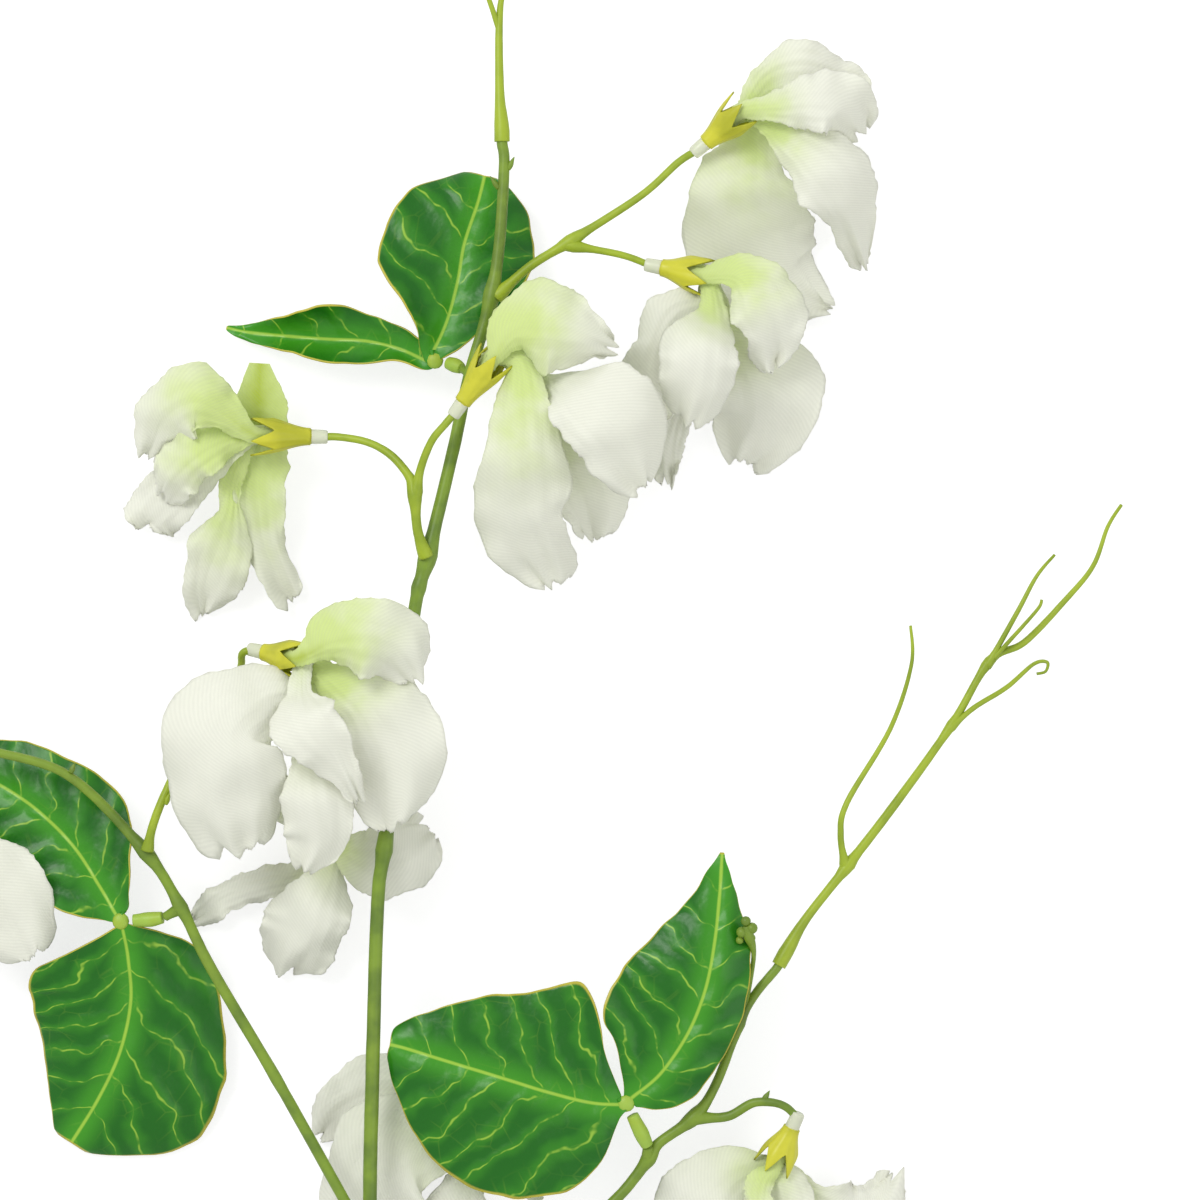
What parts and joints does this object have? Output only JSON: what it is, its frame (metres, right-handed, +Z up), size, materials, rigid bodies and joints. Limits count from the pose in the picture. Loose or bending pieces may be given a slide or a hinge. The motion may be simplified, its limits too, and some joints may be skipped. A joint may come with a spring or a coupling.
{
  "type": "sweet pea spray",
  "caption": "Artificial sweet pea spray lying down: a branched cut stem with ruffled cloth blooms, moulded calyces, paired leaves and curling tendrils.",
  "frame": {"origin": "centre of the spray's bounding box, on the surface it lies on", "axes": "+Y along the stem from its cut end towards the tip, +Z up from the surface the spray lies on"},
  "size_m": [0.255, 0.3136, 0.0436],
  "materials": {
    "petal_cloth": "matt, heat-pressed white cloth",
    "calyx_plastic": "moulded, soft gloss, yellow-olive",
    "stem_plastic": "moulded, satin, green",
    "twig_plastic": "moulded, satin, yellow-green",
    "leaf_sheet": "printed, glossy, dark green",
    "peg_plastic": "moulded, satin, light green"
  },
  "bodies": {
    "root": {"main_stem": "stem_plastic", "left_branch": "stem_plastic", "right_branch": "stem_plastic", "upper_flower_stalk": "twig_plastic", "middle_flower_stalk": "twig_plastic", "lower_flower_stalk": "twig_plastic", "bottom_flower_stalk": "twig_plastic", "top_tendril": "twig_plastic", "right_tendril": "twig_plastic", "leaf_peg_upper": "peg_plastic", "leaf_peg_left": "peg_plastic", "leaf_peg_right": "peg_plastic", "leaf_pair_upper": "leaf_sheet", "leaf_pair_left": "leaf_sheet", "leaf_pair_right": "leaf_sheet", "bloom_centre_calyx": "calyx_plastic", "bloom_centre_wing_left": "petal_cloth", "bloom_centre_standard": "petal_cloth", "bloom_centre_wing_right": "petal_cloth", "bloom_centre_keel": "petal_cloth", "bloom_upper_calyx": "calyx_plastic", "bloom_upper_wing_left": "petal_cloth", "bloom_upper_keel": "petal_cloth", "bloom_upper_wing_right": "petal_cloth", "bloom_upper_standard": "petal_cloth", "bloom_upper_tail_petal": "petal_cloth", "bloom_top_calyx": "calyx_plastic", "bloom_top_keel": "petal_cloth", "bloom_top_wing_left": "petal_cloth", "bloom_top_wing_right": "petal_cloth", "bloom_top_standard": "petal_cloth", "bloom_left_calyx": "calyx_plastic", "bloom_left_wing_left": "petal_cloth", "bloom_left_keel": "petal_cloth", "bloom_left_wing_right": "petal_cloth", "bloom_left_lower_petal": "petal_cloth", "bloom_left_standard": "petal_cloth", "bloom_large_calyx": "calyx_plastic", "bloom_large_wing_left": "petal_cloth", "bloom_large_wing_right": "petal_cloth", "bloom_large_standard": "petal_cloth", "bloom_large_keel": "petal_cloth", "bloom_large_lower_petal": "petal_cloth", "bloom_under_calyx": "calyx_plastic", "bloom_under_wing_left": "petal_cloth", "bloom_under_keel": "petal_cloth", "bloom_under_wing_right": "petal_cloth", "bloom_far_left_calyx": "calyx_plastic", "bloom_far_left_keel": "petal_cloth", "bloom_far_left_wing_left": "petal_cloth", "bloom_far_left_wing_right": "petal_cloth", "bloom_bottom_calyx": "calyx_plastic", "bloom_bottom_wing_left": "petal_cloth", "bloom_bottom_keel": "petal_cloth", "bloom_bottom_wing_right": "petal_cloth", "bloom_low_right_calyx": "calyx_plastic", "bloom_low_right_wing_left": "petal_cloth", "bloom_low_right_keel": "petal_cloth", "bloom_low_right_wing_right": "petal_cloth", "bloom_low_right_standard": "petal_cloth"}
  },
  "joints": []
}
